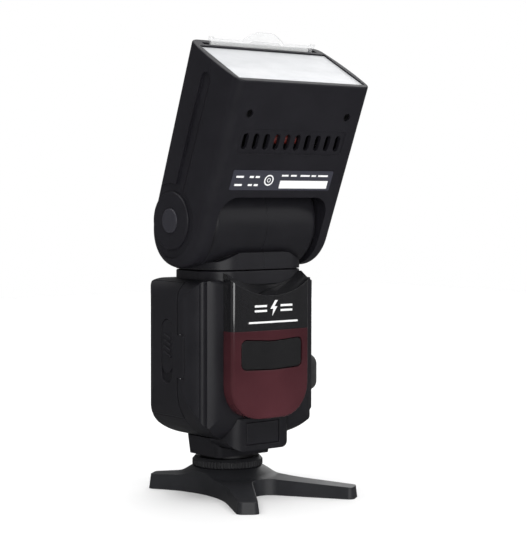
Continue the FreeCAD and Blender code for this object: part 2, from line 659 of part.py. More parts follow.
def build_controls():
    for i, x in enumerate(BUTTON_XS, 1):
        cap(f"function_button_{i}", x, 4.2, "button_z", 2.4, "12.9", "17.0", 1.0)
    cap("test_button", 20.5, 4.0, "dial_z", 4.0, "12.9", "16.9", 1.6)
    knob = box("switch_knob", (-22.5, 15.0, "dial_z - 4.3"), (4.0, 2.6, 4.6))
    shoe = box("switch_shoe", (-23.8, 12.6, "dial_z - 4.4"), (6.6, 1.1, 4.8))
    post = box("switch_post", (-21.7, 13.4, "dial_z - 3.8"), (2.4, 2.0, 3.6))
    piece("power_switch", merge("power_switch", knob, shoe, post))
    build_dial()
    face = cylinder("set_face", "y", 4.7, (0, "12.9", "dial_z"), 4.4)
    piece("set_button", fillet("set_button", face, 0.5, behind(17)))
    window = slab("window_blank", "lcd_half", ("14.4", "16.15"), ("lcd_low", "lcd_high"))
    piece("display_window", fillet("display_window", window, 0.4, behind(16)))


def build_dial():
    """A PartDesign ring with finger notches on its rim."""
    body = doc.addObject("PartDesign::Body", "select_dial")
    plane = next(p for p in body.Origin.OriginFeatures if p.Role == "XZ_Plane")
    centre = Vector(0, dim("dial_z"), 0)
    ring = body.newObject("Sketcher::SketchObject", "dial_sketch")
    ring.AttachmentSupport = [(plane, "")]
    ring.MapMode = "FlatFace"
    rear_y = 17.2
    ring.AttachmentOffset = Placement(Vector(0, 0, -rear_y), Rotation())
    for index, (radius, amount) in enumerate((("dial_radius", dim("dial_radius")), ("4.95", 4.95))):
        ring.addGeometry(Part.Circle(centre, Z_AXIS, amount), False)
        ring.addConstraint(Sketcher.Constraint("Radius", index, amount))
        bind(ring, f"Constraints[{index}]", radius)
    pad = body.newObject("PartDesign::Pad", "dial_pad")
    pad.Profile = ring
    pad.Length = 3.8
    doc.recompute()
    notch_sketch = body.newObject("Sketcher::SketchObject", "notch_sketch")
    notch_sketch.AttachmentSupport = [(plane, "")]
    notch_sketch.MapMode = "FlatFace"
    notch_sketch.AttachmentOffset = Placement(centre + Vector(0, 0, -rear_y), Rotation())
    rim = Vector(dim("dial_radius") + 0.25, 0, 0)
    notch_sketch.addGeometry(Part.Circle(rim, Z_AXIS, 0.7), False)
    notch = body.newObject("PartDesign::Pocket", "dial_notch")
    notch.Profile = notch_sketch
    notch.Length = 3.8
    notch.Reversed = True
    notches = body.newObject("PartDesign::PolarPattern", "dial_notches")
    notches.Originals = [notch]
    notches.Axis = (notch_sketch, ["N_Axis"])
    notches.Angle = 360
    notches.Occurrences = 30
    body.Tip = notches
    doc.recompute()
    piece("select_dial", body)


def build_port_cover():
    flap = box("port_flap", ("body_half - 0.7", -14.0, 42.1), (1.7, 11.1, 17.6))
    soft = fillet("port_flap_soft", flap, 0.6, right_of(36))
    outline = rectangle(-13.4, 42.6, -4.2, 59.2, 4.5)
    bulge = extrude("port_bulge", "yz", outline, ("body_half", "body_half + 7.9"))
    dome = fillet("port_dome", bulge, 3.2, right_of(42))
    hinge_bead = cylinder("port_hinge_bead", "z", 0.6, ("body_half + 0.8", -3.1, 44.5), 12)
    piece("port_cover", merge("port_cover", soft, dome, hinge_bead))
    block = box("socket_block", ("body_half - 9", -12.4, 45.2), (7.4, 7.8, 10.6))
    sockets = [cylinder(f"socket_{i}", "x", radius, ("body_half - 6", -8.5, z), 6)
               for i, (z, radius) in enumerate(((48.3, 1.9), (53.0, 1.5)))]
    piece("side_sockets", cut("side_sockets", block, *sockets))


def right_of(x):
    """A test for the edges that lie wholly to the right of a plane."""
    return lambda edge: all(vertex.X > x for vertex in edge.Vertexes)


# ---------------------------------------------------------------- collar and swivel

def build_collar():
    plate = extrude("collar_plate", "xy", collar_plan(0.0), ("collar_bottom", "collar_seam - 0.25"))
    soft = fillet("collar_soft", plate, 0.5, above(99))
    bore = cylinder("collar_bore_cut", "z", "collar_bore", (0, "pivot_y", 80), 40)
    piece("neck_collar", cut("neck_collar", soft, bore))


def above(z):
    """A test for the edges that lie wholly above a plane."""
    return lambda edge: all(vertex.Z > z for vertex in edge.Vertexes)


def build_swivel():
    arch_top, base = dim("neck_arch_top"), dim("collar_seam") + 0.25
    arch = [(-28, base, 0), (28, base, 0), (28, base + 3.0, 0), (22.0, base + 3.6, 9.0),
            (13.5, arch_top, 4.0), (-13.5, arch_top, 4.0), (-22.0, base + 3.6, 9.0),
            (-28, base + 3.0, 0)]
    foot = common("swivel_foot",
                  extrude("swivel_plan", "xy", collar_plan(0.0), ("collar_seam + 0.25", "pivot_z")),
                  extrude("swivel_arch", "xz", arch, ("-40", "30")))
    drum_blank = cylinder("drum_blank", "x", "drum_radius", ("-drum_half", "pivot_y", "pivot_z"),
                          "2 * drum_half")
    drum = fillet("drum_soft", drum_blank, 3.5)
    tube = cylinder("swivel_tube_solid", "z", "swivel_tube",
                    (0, "pivot_y", "top_plate_bottom - 3.2"), 16)
    solid = merge("swivel_solid", foot, drum, tube)
    hollow = cylinder("drum_hollow", "x", "drum_radius - 3", (-24, "pivot_y", "pivot_z"), 48)
    way = cylinder("swivel_way", "z", "swivel_tube - 2.4", (0, "pivot_y", 60), 55)
    shaft_way = cylinder("swivel_shaft_way", "x", "shaft_radius", (-40, "pivot_y", "pivot_z"), 80)
    groove = cylinder("retainer_groove_outer", "z", "swivel_tube + 3",
                      (0, "pivot_y", "top_plate_bottom - 2.2"), 1.9)
    core = cylinder("retainer_groove_inner", "z", "swivel_tube - 1.2",
                    (0, "pivot_y", "top_plate_bottom - 3"), 4)
    ring_groove = cut("retainer_groove", groove, core)
    hollowed = cut("swivel_hollowed", solid, hollow, way, shaft_way, ring_groove)
    left_zone = box("swivel_left_zone", (-60, -60, 60), (59.93, 120, 120))
    right_zone = box("swivel_right_zone", (0.07, -60, 60), (59.93, 120, 120))
    piece("swivel_left", common("swivel_left", hollowed, left_zone))
    piece("swivel_right", common("swivel_right", hollowed, right_zone))
    washer = cylinder("retainer_blank", "z", "swivel_tube + 2.2",
                      (0, "pivot_y", "top_plate_bottom - 2.0"), 1.5)
    washer_hole = cylinder("retainer_hole", "z", "swivel_tube - 1.1", (0, "pivot_y", 60), 60)
    piece("swivel_retainer", cut("swivel_retainer", washer, washer_hole))
    shaft = cylinder("shaft_blank", "x", f"shaft_radius - {GAP}",
                     ("-shaft_half", "pivot_y", "pivot_z"), "2 * shaft_half")
    shaft_hole = cylinder("shaft_hole", "x", 2.6, (-60, "pivot_y", "pivot_z"), 120)
    piece("tilt_shaft", cut("tilt_shaft", shaft, shaft_hole))


# ---------------------------------------------------------------- head casing

def head_side_outline():
    """The head seen from the side: Y runs backwards from the tilt axis, Z along the head."""
    face, back, ear = -dim("face_depth"), dim("back_depth"), dim("ear_radius")
    lean = math.atan((dim("back_depth_top") - back) / (dim("back_length") + ear))
    heel = (back - face - ear) * math.tan(math.radians(45) + lean / 2)
    return [(face, dim("face_length"), 0), (face, -ear, ear),
            (back, -ear, heel), (dim("back_depth_top"), dim("back_length"), 0)]


def head_form():
    """The side view crossed with two bowed sides, with its long edges softened."""
    side = extrude("head_side", "yz", head_side_outline(), ("-head_bulge - 5", "head_bulge + 5"))
    width = slab("head_width", "head_half + 5", ("-face_depth - 1", "back_depth_top + 1"), ("-30", "90"))
    bows = []
    for name, x, turned in (("left", "bulge_radius - head_bulge", Rotation()),
                            ("right", "head_bulge - bulge_radius", Rotation(Z_AXIS, 180))):
        bow = cylinder(f"head_bow_{name}", "z", "bulge_radius", (0, 0, 0), 120)
        place(bow, (x, "bulge_y", -30), turned)
        bows.append(bow)
    blank = common("head_blank", side, width, *bows)
    soft = fillet("head_soft", blank, 4.5, along_head_or_ear)
    return fillet("head_form", soft, 0.7, above(dim("face_length") - 1.6))


def along_head_or_ear(edge):
    """The four long corner edges and the curved edges round the ears."""
    run = edge.Vertexes[-1].Point - edge.Vertexes[0].Point
    straight = edge.Curve.TypeId == "Part::GeomLine"
    return abs(run.z) > 40 or (not straight and all(vertex.Z < 5 for vertex in edge.Vertexes))


def cavity_outline(inset):
    """The head's plan, set in by the wall, with the bow of each side drawn as a wide corner."""
    face, back = -dim("face_depth") + inset, dim("back_depth_top") - inset
    half, bulge = dim("head_half") - inset, dim("head_bulge") - inset
    return [(-half, face, 3.0), (half, face, 3.0), (bulge, -3, 110),
            (half, back, 3.0), (-half, back, 3.0), (-bulge, -3, 110)]


def rim_height(y, below):
    """Height of the sloping lens end at a place across the head, less a step down."""
    face, back = -dim("face_depth"), dim("back_depth_top")
    part = (y - face) / (back - face)
    return dim("face_length") + part * (dim("back_length") - dim("face_length")) - below


def sloped(name, half_x, span_y, bottoms, top_below):
    """A block across the head whose top follows the sloping lens end."""
    front_y, rear_y = span_y
    outline = [(front_y, bottoms[0], 0), (rear_y, bottoms[1], 0),
               (rear_y, rim_height(rear_y, top_below), 0),
               (front_y, rim_height(front_y, top_below), 0)]
    return extrude(name, "yz", outline, (f"-({half_x})", half_x))


def cavity_side_outline():
    """The inside of the head in side view: level floor, leaning back wall, sloping top."""
    floor, wall, ear = dim("cavity_bottom"), dim("head_back_wall"), dim("ear_radius")
    low_back, high_back = dim("back_depth"), dim("back_depth_top")
    lean = (high_back - low_back) / (dim("back_length") + ear)
    back_low = low_back + lean * (floor + ear) - wall
    back_high = high_back - wall
    return [(-40, floor, 0), (back_low, floor, 0), (back_high, rim_height(back_high, 3.4), 0),
            (-40, rim_height(-40, 3.4), 0)]


def lens_block(name, grow, top_below):
    """The lens itself, or its seat when grown a little."""
    span_y = (-dim("lens_face") - grow, dim("lens_back") + grow)
    bottoms = [rim_height(y, dim("lens_depth") + 1.8 + grow / 2) for y in span_y]
    return sloped(name, f"lens_half + {grow}", span_y, bottoms, top_below)


def build_head_shells():
    form = head_form()
    floor = dim("cavity_bottom")
    cavity = common("head_cavity",
                    extrude("cavity_plan", "xy", cavity_outline(dim("head_wall")),
                            ("cavity_bottom", "90")),
                    extrude("cavity_side", "yz", cavity_side_outline(), ("-60", "60")))
    lens_way = sloped("lens_way", "lens_half - 1.2",
                      (1.0 - dim("lens_face"), dim("lens_back") - 1.0), (60.0, 60.0), -5.0)
    lens_seat = lens_block("lens_seat", 0.08, -5.0)
    panel_slot = slab("panel_slot", "31.4", ("slot_near", "slot_far"), ("60", "90"))
    face_gap = extrude("face_gap", "xz", neck_gap(dim("recess_top"), 8.5), ("-40", "-shell_split"))
    back_gap = extrude("back_gap", "xz", neck_gap(dim("back_recess_top"), 5.0), ("-shell_split", "40"))
    drum_way = cylinder("drum_way", "x", "drum_radius + 0.8", ("-ear_inner", 0, 0), "2 * ear_inner")
    vents = [extrude(f"vent_{i}", "xz", vent_outline(i), ("-30", "head_wall + 1 - face_depth"))
             for i in range(10)]
    vent_panel = extrude("vent_panel", "xz", rectangle(-28.8, 39.9, 28.8, 50.8, 1.5),
                         ("-face_depth - 1", "-face_depth + 0.35"))
    label_seat = extrude("label_seat", "xz", label_outline(0.1),
                         ("-face_depth - 1", "-face_depth + 0.3"))
    screw_ways = [cylinder(f"head_screw_way_{i}", "y", 1.75, (x, "-face_depth - 1", "screw_height"), 4)
                  for i, x in enumerate(("-screw_x", "screw_x"))]
    side_cuts = [side_recess("left", -1), side_recess("right", 1)]
    cap_seats = [cylinder("cap_seat_left", "x", f"cap_radius + {GAP}", ("-cap_seat_x - 15", 0, 0), 15),
                 cylinder("cap_seat_right", "x", f"cap_radius + {GAP}", ("cap_seat_x", 0, 0), 15)]
    shaft_way = cylinder("head_shaft_way", "x", f"shaft_radius + {GAP / 2}", (-32.2, 0, 0), 64.4)
    button_way = cylinder("lock_button_way", "x", 6.2, (-36, 0, 0), 3.9)
    shell = cut("head_shell", form, cavity, lens_way, lens_seat, panel_slot, face_gap, back_gap,
                drum_way, *vents, vent_panel, label_seat, *screw_ways, *side_cuts, *cap_seats,
                shaft_way, button_way)
    front_zone = box("head_front_zone", (-60, -60, -40), (120, "60 - shell_split - 0.05", 140))
    back_zone = box("head_back_zone", (-60, "-shell_split + 0.05", -40), (120, 60, 140))
    head_piece("head_front_shell", common("head_front_shell", shell, front_zone))
    head_piece("head_back_shell", common("head_back_shell", shell, back_zone))


def neck_gap(top, radius):
    """The opening between the ears that the drum and its neck move in."""
    inner = dim("ear_inner")
    return [(-inner, -30, 0), (inner, -30, 0), (inner, top, radius), (-inner, top, radius)]


def vent_outline(index):
    x = -dim("vent_half") + index * 2 * dim("vent_half") / 9
    half = dim("vent_width") / 2
    return rectangle(x - half, dim("vent_low"), x + half, dim("vent_high"), half - 0.01)


def label_outline(grow):
    half = dim("label_half") + grow
    return rectangle(-half, dim("label_low") - grow, half, dim("label_high") + grow, 0.8)


def side_recess(name, sign):
    """The sunk ring round the tilt cap and the groove that runs from it along the head."""
    span = ("-50", "-side_floor") if sign < 0 else ("side_floor", "50")
    ring = cylinder(f"cap_ring_{name}", "x", "cap_recess", (span[0], 0, 0), "50 - side_floor")
    outline = stadium(-1.5, dim("groove_half"), 4.0, dim("groove_end"))
    groove = extrude(f"groove_{name}", "yz", outline, span)
    return merge(f"side_recess_{name}", ring, groove)


def outermost(edge):
    return abs(edge.Vertexes[0].X) > 37


def build_head_trim():
    thickness = "cap_outer - cap_seat_x"
    left = cylinder("cap_disc_left", "x", "cap_radius", ("-cap_outer", 0, 0), thickness)
    right = cylinder("cap_disc_right", "x", "cap_radius", ("cap_seat_x", 0, 0), thickness)
    hole = cylinder("cap_hole", "x", f"lock_button_radius + {GAP}", (-60, 0, 0), 40)
    dish = cylinder("cap_dish", "x", "lock_button_radius", ("cap_outer - 0.5", 0, 0), 5)
    soft_left = fillet("cap_soft_left", left, 0.7, outermost)
    soft_right = fillet("cap_soft_right", right, 0.7, outermost)
    head_piece("side_cap_left", cut("side_cap_left", soft_left, hole))
    head_piece("side_cap_right", cut("side_cap_right", soft_right, dish))
    knob = cylinder("lock_knob", "x", "lock_button_radius", ("-cap_outer - 0.7", 0, 0), 3.6)
    head_piece("tilt_lock_button", fillet("lock_knob_soft", knob, 0.7, outermost))
    plate = extrude("label_blank", "xz", label_outline(0.0),
                    ("-face_depth - 0.05", "-face_depth + 0.28"))
    head_piece("label_plate", plate)
    screws = []
    for i, x in enumerate(("-screw_x", "screw_x")):
        head = cylinder(f"head_screw_{i}", "y", 1.7, (x, "-face_depth + 0.9", "screw_height"), 2.0)
        drives = [box(f"drive_{turn}_{i}",
                      (f"{x} - {wide / 2}", "-face_depth + 0.5", f"screw_height - {tall / 2}"),
                      (wide, 1.1, tall))
                  for turn, wide, tall in (("flat", 2.0, 0.45), ("upright", 0.45, 2.0))]
        screws.append(cut(f"head_screw_cut_{i}", head, *drives))
    head_piece("head_screws", compound("head_screws_set", *screws))


def build_head_optics():
    head_piece("fresnel_lens", lens_block("lens_blank", 0.0, dim("lens_depth")))
    guide = slab("guide_blank", "32.8", ("slot_near - 0.9", "slot_near - 0.15"), ("30", "70"))
    head_piece("panel_guide", guide)
    thickness = ("slot_near + 0.1", "slot_near + 1.1")
    pane = extrude("pane_body", "xz", rectangle(-28.2, 40.0, 28.2, 78.4, 1.5), thickness)
    tab_outline = [(-13.5, 76.0, 0), (13.5, 76.0, 0), (10.0, 79.6, 5.0), (4.5, 82.6, 7.0),
                   (-4.5, 82.6, 7.0), (-10.0, 79.6, 5.0)]
    tab = extrude("pane_tab", "xz", tab_outline, thickness)
    nubs = [box(f"pane_nub_{i}", (x, thickness[0], 77.2), (2.2, 1.0, 1.9))
            for i, x in enumerate((-29.2, 27.0))]
    head_piece("wide_panel", merge("wide_panel_solid", pane, tab, *nubs))
    card = extrude("card_blank", "xz", rectangle(-27.0, 40.4, 27.0, 77.0, 1.0),
                   ("slot_near + 1.3", "slot_far - 0.2"))
    head_piece("bounce_card", card)


def build_zoom_unit():
    low, length = dim("carriage_low"), dim("carriage_length")
    centre = -4.0
    frame = box("carriage_frame", (-26.0, "-14.6", low), (52.0, 21.8, length))
    well = box("carriage_well", (-24.2, "-12.8", low - 1), (48.4, 18.2, length + 2))
    lugs = [box(f"carriage_lug_{i}", (x, centre - 2.5, low + z), (7.4, 5.0, 4.0))
            for i, (x, z) in enumerate(((-32.8, 1), (-32.8, 10), (25.4, 1), (25.4, 10)))]
    ways = [cylinder(f"rail_way_{i}", "z", radius, (x, centre, 0), 90)
            for i, (x, radius) in enumerate((("-rail_x", 1.06), ("rail_x", 1.56)))]
    head_piece("zoom_carriage", cut("carriage_cut", merge("carriage_solid", frame, *lugs), well, *ways))
    trough = [(-12.5, low + length, 0), (-11.0, low + 5.0, 6.0), (-5.6, low + 0.6, 3.0),
              (-2.0, low + 0.6, 3.0), (3.6, low + 5.0, 6.0), (5.2, low + length, 0)]
    hollow = [(-11.9, low + length + 1, 0), (-10.4, low + 5.3, 6.0), (-5.3, low + 1.4, 2.6),
              (-2.3, low + 1.4, 2.6), (3.0, low + 5.3, 6.0), (4.6, low + length + 1, 0)]
    cup = extrude("reflector_form", "yz", trough, ("-24.0", "24.0"))
    cup_well = extrude("reflector_well", "yz", hollow, ("-23.4", "23.4"))
    tube_way = cylinder("tube_opening", "x", 1.9, (-30, centre + 0.2, low + 4.6), 60)
    head_piece("reflector", cut("reflector_cut", cup, cup_well, tube_way))
    tube = cylinder("tube_glass", "x", 1.8, (-24.1, centre + 0.2, low + 4.6), 48.2)
    head_piece("flash_tube", tube)
    coil = cylinder("coil_core", "x", 2.3, (-8, -17.2, 45.2), 12)
    head_piece("trigger_coil", coil)
    rod = cylinder("guide_rod", "z", 1.0, ("-rail_x", centre, "cavity_bottom + 0.1"), 45.4)
    head_piece("guide_rods", rod)
    screw = cylinder("screw_rod", "z", 1.5, ("rail_x", centre, "cavity_bottom + 10.8"), 34.2)
    head_piece("lead_screw", screw)
    motor = box("motor_can", ("rail_x - 4.6", centre - 4.4, "cavity_bottom + 0.1"),
                (7.4, 8.8, 10.6))
    head_piece("zoom_motor", motor)


def write_pieces():
    doc.recompute()
    bad = [thing.Name for thing in doc.Objects
           if "Invalid" in thing.State or "Error" in thing.State]
    if bad:
        raise RuntimeError("objects that failed: " + ", ".join(bad))
    os.makedirs("parts", exist_ok=True)
    for solid in pieces:
        shape = solid.Shape
        if shape.isNull() or not shape.isValid() or not shape.Solids:
            raise RuntimeError(f"{solid.Label} has no valid solid")
        shape.exportStep(f"parts/{solid.Label}.step")
    print(len(pieces), "pieces written")


build_stand()
build_foot()
build_threaded_collar()
build_lock_wheel()
build_neck()
body_outer, body_shell = build_casing()
build_battery_door(body_outer, body_shell)
build_batteries()
build_electronics()
build_cover()
build_controls()
build_port_cover()
build_collar()
build_swivel()
build_head_shells()
build_head_trim()
build_head_optics()
build_zoom_unit()
write_pieces()
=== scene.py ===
"""Looks of the hot-shoe flash on its mini stand: finishes, lens, printed marks, studio and camera.

Metres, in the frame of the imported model. Pieces of the head are made upright about the tilt axis,
like the CAD head, and are then leaned with it.
"""

import json
import math

import bmesh
import bpy
from mathutils import Matrix, Vector


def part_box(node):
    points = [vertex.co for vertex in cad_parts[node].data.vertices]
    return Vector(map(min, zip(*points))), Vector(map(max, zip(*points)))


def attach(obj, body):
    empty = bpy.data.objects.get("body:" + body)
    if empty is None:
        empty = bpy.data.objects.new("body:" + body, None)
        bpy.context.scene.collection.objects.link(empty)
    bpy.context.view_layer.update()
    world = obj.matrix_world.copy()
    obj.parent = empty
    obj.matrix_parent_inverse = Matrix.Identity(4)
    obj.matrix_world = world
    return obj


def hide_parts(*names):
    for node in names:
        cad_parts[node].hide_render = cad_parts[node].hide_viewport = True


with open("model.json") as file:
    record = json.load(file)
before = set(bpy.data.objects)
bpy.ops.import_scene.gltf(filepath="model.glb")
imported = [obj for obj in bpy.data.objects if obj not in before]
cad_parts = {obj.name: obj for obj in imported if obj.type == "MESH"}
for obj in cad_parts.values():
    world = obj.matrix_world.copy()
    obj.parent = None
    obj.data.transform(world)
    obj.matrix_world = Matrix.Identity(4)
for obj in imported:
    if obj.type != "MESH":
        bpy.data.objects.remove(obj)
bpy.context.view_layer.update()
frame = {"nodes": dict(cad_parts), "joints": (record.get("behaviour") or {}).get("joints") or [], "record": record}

MM = 0.001
NODES = frame["nodes"]
TILT_JOINT = next(joint for joint in frame["joints"] if joint["name"] == "head_tilt")
LEAN = math.radians(-TILT_JOINT["range_deg"][0])
HEAD = Matrix.Translation(TILT_JOINT["pos_m"]) @ Matrix.Rotation(LEAN, 4, "X")
UPRIGHT = Matrix.Identity(4)


# ------------------------------------------------------------------ node helpers

class Finish:
    """A node material in the making: its tree, its shader and short ways to add nodes."""

    def __init__(self, name):
        self.material = bpy.data.materials.new(name)
        self.material.use_nodes = True
        self.tree = self.material.node_tree
        self.shader = self.tree.nodes["Principled BSDF"]
        self.place = self.add("TexCoord").outputs["Object"]

    def add(self, kind, settings=None, **inputs):
        node = self.tree.nodes.new("ShaderNode" + kind)
        for key, value in (settings or {}).items():
            setattr(node, key, value)
        for key, value in inputs.items():
            self.feed(node.inputs[key.replace("_", " ")], value)
        return node

    def feed(self, socket, value):
        if isinstance(value, bpy.types.NodeSocket):
            self.tree.links.new(value, socket)
        else:
            socket.default_value = value

    def set(self, **inputs):
        """Values or sockets for the shader; underscores stand for spaces."""
        for key, value in inputs.items():
            self.feed(self.shader.inputs[key.replace("_", " ")], value)

    def calc(self, operation, *values):
        node = self.add("Math", {"operation": operation})
        for socket, value in zip(node.inputs, values):
            self.feed(socket, value)
        return node.outputs[0]

    def noise(self, scale, detail=2.0, roughness=0.5, vector=None):
        node = self.add("TexNoise", Vector=vector or self.place, Scale=scale, Detail=detail,
                        Roughness=roughness)
        return node.outputs["Fac"]

    def stretched(self, scale):
        """The place, scaled differently along each axis, for streaks."""
        return self.add("Mapping", Vector=self.place, Scale=scale).outputs[0]

    def spread(self, value, low, high, to_low, to_high):
        node = self.add("MapRange", Value=value)
        for socket, amount in zip(node.inputs[1:5], (low, high, to_low, to_high)):
            socket.default_value = amount
        return node.outputs[0]

    def blend(self, share, first, second):
        node = self.add("Mix", {"data_type": "RGBA"})
        for index, value in ((0, share), (6, first), (7, second)):
            self.feed(node.inputs[index], value)
        return node.outputs[2]

    def edges(self, radius, gain):
        """A softened normal, and a mask that is 1 on the convex and concave edges."""
        soft = self.add("Bevel", {"samples": 4}, Radius=radius).outputs[0]
        true = self.add("NewGeometry").outputs["Normal"]
        match = self.add("VectorMath", {"operation": "DOT_PRODUCT"})
        self.feed(match.inputs[0], soft)
        self.feed(match.inputs[1], true)
        mask = self.spread(match.outputs["Value"], 1.0, 1.0 - gain, 0.0, 1.0)
        return soft, mask

    def bump(self, height, strength, distance, normal=None):
        node = self.add("Bump", Height=height, Strength=strength, Distance=distance)
        if normal is not None:
            self.feed(node.inputs["Normal"], normal)
        return node.outputs[0]


def rgb(red, green, blue):
    return (red, green, blue, 1.0)


def lighter(colour, factor):
    return tuple(min(1.0, part * factor) for part in colour[:3]) + (1.0,)


# ------------------------------------------------------------------ finishes

def moulded(name, colour, roughness, grain=2600.0, depth=0.3, wear_and_highlight=1.6, edge=0.35, shine=0.3):
    """Moulded plastic: spark-eroded grain, patchy sheen, and edges made paler and smoother, partly rubbing wear
    and partly a painted highlight.
    """
    finish = Finish(name)
    soft, mask = finish.edges(edge * MM, 0.12)
    patches = finish.noise(70.0, 4.0, 0.6)
    grains = finish.noise(grain, 2.0, 0.65)
    base = finish.blend(finish.spread(patches, 0.3, 0.7, 0.0, 1.0), colour, lighter(colour, 1.25))
    # Painted highlight: the edge mask lightens the colour along the edges, standing for rubbing wear and for light
    # caught on the edges.
    rubbed_and_highlit = finish.calc("MULTIPLY", mask, finish.spread(patches, 0.35, 0.65, 0.25, 0.9))
    finish.set(Base_Color=finish.blend(rubbed_and_highlit, base, lighter(colour, wear_and_highlight)))
    sheen = finish.spread(patches, 0.3, 0.7, roughness - 0.05, roughness + 0.05)
    finish.set(Roughness=finish.calc("SUBTRACT", sheen, finish.calc("MULTIPLY", rubbed_and_highlit, 0.08)))
    finish.set(Normal=finish.bump(grains, depth, 0.04 * MM, soft))
    finish.set(Specular_IOR_Level=shine, IOR=1.5)
    return finish.material


def polished(name, colour, roughness, coat=1.0):
    """Polished plastic with faint wiping marks and a clear skin."""
    finish = Finish(name)
    soft, mask = finish.edges(0.4 * MM, 0.12)
    smears = finish.noise(1.0, 5.0, 0.6, finish.stretched((90.0, 90.0, 22.0)))
    specks = finish.noise(1500.0, 1.0)
    tone = finish.spread(smears, 0.35, 0.7, 0.0, 1.0)
    finish.set(Base_Color=finish.blend(tone, colour, lighter(colour, 1.3)))
    rough = finish.spread(smears, 0.35, 0.7, roughness, roughness + 0.05)
    finish.set(Roughness=finish.calc("ADD", rough, finish.calc("MULTIPLY", mask, 0.04)))
    finish.set(Normal=finish.bump(specks, 0.02, 0.01 * MM, soft))
    finish.set(Coat_Weight=coat, Coat_Roughness=0.03)
    return finish.material


def metal(name, colour, roughness, streaks=(60.0, 60.0, 2400.0)):
    """Plated or turned metal with fine tool marks."""
    finish = Finish(name)
    soft, _ = finish.edges(0.15 * MM, 0.12)
    marks = finish.noise(1.0, 3.0, 0.6, finish.stretched(streaks))
    stain = finish.noise(160.0, 3.0)
    finish.set(Base_Color=finish.blend(finish.spread(stain, 0.35, 0.7, 0.0, 1.0), colour,
                                       lighter(colour, 0.8)))
    finish.set(Roughness=finish.spread(marks, 0.3, 0.7, roughness * 0.7, roughness * 1.3))
    finish.set(Normal=finish.bump(marks, 0.08, 0.02 * MM, soft), Metallic=1.0)
    return finish.material


def clear(name, tint, see_through, edge_tone, roughness=0.05):
    """Clear moulded plastic: mostly open, grey where light is caught along its edges."""
    finish = Finish(name)
    flow = finish.noise(1.0, 4.0, 0.55, finish.stretched((60.0, 160.0, 60.0)))
    _, mask = finish.edges(0.25 * MM, 0.15)
    haze = finish.noise(900.0, 2.0)
    solid = finish.spread(flow, 0.3, 0.7, 1.0 - see_through, 1.0 - see_through + 0.08)
    # Painted light and shade: the edges are drawn greyer and more solid, standing for how clear edges bend and
    # catch light.
    caught = finish.calc("MULTIPLY", mask, 0.55)
    finish.set(Base_Color=finish.blend(mask, tint, lighter(tint, edge_tone)))
    finish.set(Alpha=finish.calc("MINIMUM", finish.calc("ADD", solid, caught), 1.0))
    finish.set(Roughness=finish.spread(haze, 0.3, 0.7, roughness, roughness + 0.05))
    finish.set(Normal=finish.bump(flow, 0.02, 0.05 * MM), IOR=1.49)
    return finish.material


def red_window():
    """Tinted dark red window, with painted light: the colour is brighter low down and towards the middle."""
    bottom, top, half_width = 35.0 * MM, 74.0 * MM, 21.4 * MM
    finish = Finish("red_window_look")
    soft, _ = finish.edges(0.5 * MM, 0.15)
    split = finish.add("SeparateXYZ", Vector=finish.place)
    across, height = split.outputs["X"], split.outputs["Z"]
    cloud = finish.noise(55.0, 3.0, 0.5)
    from_middle = finish.calc("DIVIDE", finish.calc("ABSOLUTE", across), half_width)
    # Painted light and shade: the colour runs from a shaded red at the top and sides to a lit red low in the
    # middle.
    from_below = finish.spread(height, bottom, top, 0.75, 0.25)
    painted_light = finish.calc("MULTIPLY", from_below, finish.spread(from_middle, 0.1, 1.0, 1.0, 0.55))
    painted_light = finish.calc("ADD", painted_light, finish.spread(cloud, 0.3, 0.7, -0.12, 0.12))
    shaded_red, lit_red = rgb(0.036, 0.010, 0.013), rgb(0.098, 0.029, 0.036)
    finish.set(Base_Color=finish.blend(painted_light, shaded_red, lit_red))
    finish.set(Roughness=finish.spread(cloud, 0.3, 0.7, 0.07, 0.12))
    finish.set(Normal=finish.bump(cloud, 0.03, 0.1 * MM, soft))
    finish.set(Specular_IOR_Level=0.28, Coat_Weight=0.12, Coat_Roughness=0.05)
    return finish.material


def rubber():
    """Soft black rubber, with dust in its pores."""
    finish = Finish("rubber_look")
    soft, _ = finish.edges(0.5 * MM, 0.12)
    dust = finish.noise(240.0, 5.0, 0.65)
    pores = finish.noise(3200.0, 2.0, 0.7)
    finish.set(Base_Color=finish.blend(finish.spread(dust, 0.45, 0.75, 0.0, 1.0),
                                       rgb(0.014, 0.014, 0.015), rgb(0.034, 0.034, 0.035)))
    finish.set(Roughness=finish.spread(dust, 0.3, 0.7, 0.62, 0.74))
    finish.set(Normal=finish.bump(pores, 0.25, 0.05 * MM, soft), Sheen_Weight=0.15)
    return finish.material


def white_card():
    """White card with fibres that run up it."""
    finish = Finish("card_look")
    fibres = finish.noise(1.0, 4.0, 0.6, finish.stretched((1800.0, 1800.0, 500.0)))
    finish.set(Base_Color=finish.blend(fibres, rgb(0.78, 0.78, 0.77), rgb(0.86, 0.86, 0.85)))
    finish.set(Roughness=finish.spread(fibres, 0.3, 0.7, 0.5, 0.62))
    finish.set(Normal=finish.bump(fibres, 0.1, 0.03 * MM))
    return finish.material


def liner_white():
    """Moulded white plastic, as used inside the lens opening."""
    finish = Finish("liner_look")
    cloud = finish.noise(180.0, 3.0)
    finish.set(Base_Color=finish.blend(cloud, rgb(0.80, 0.80, 0.80), rgb(0.88, 0.88, 0.89)))
    finish.set(Roughness=finish.spread(cloud, 0.3, 0.7, 0.35, 0.45))
    finish.set(Normal=finish.bump(finish.noise(2200.0), 0.1, 0.02 * MM))
    return finish.material


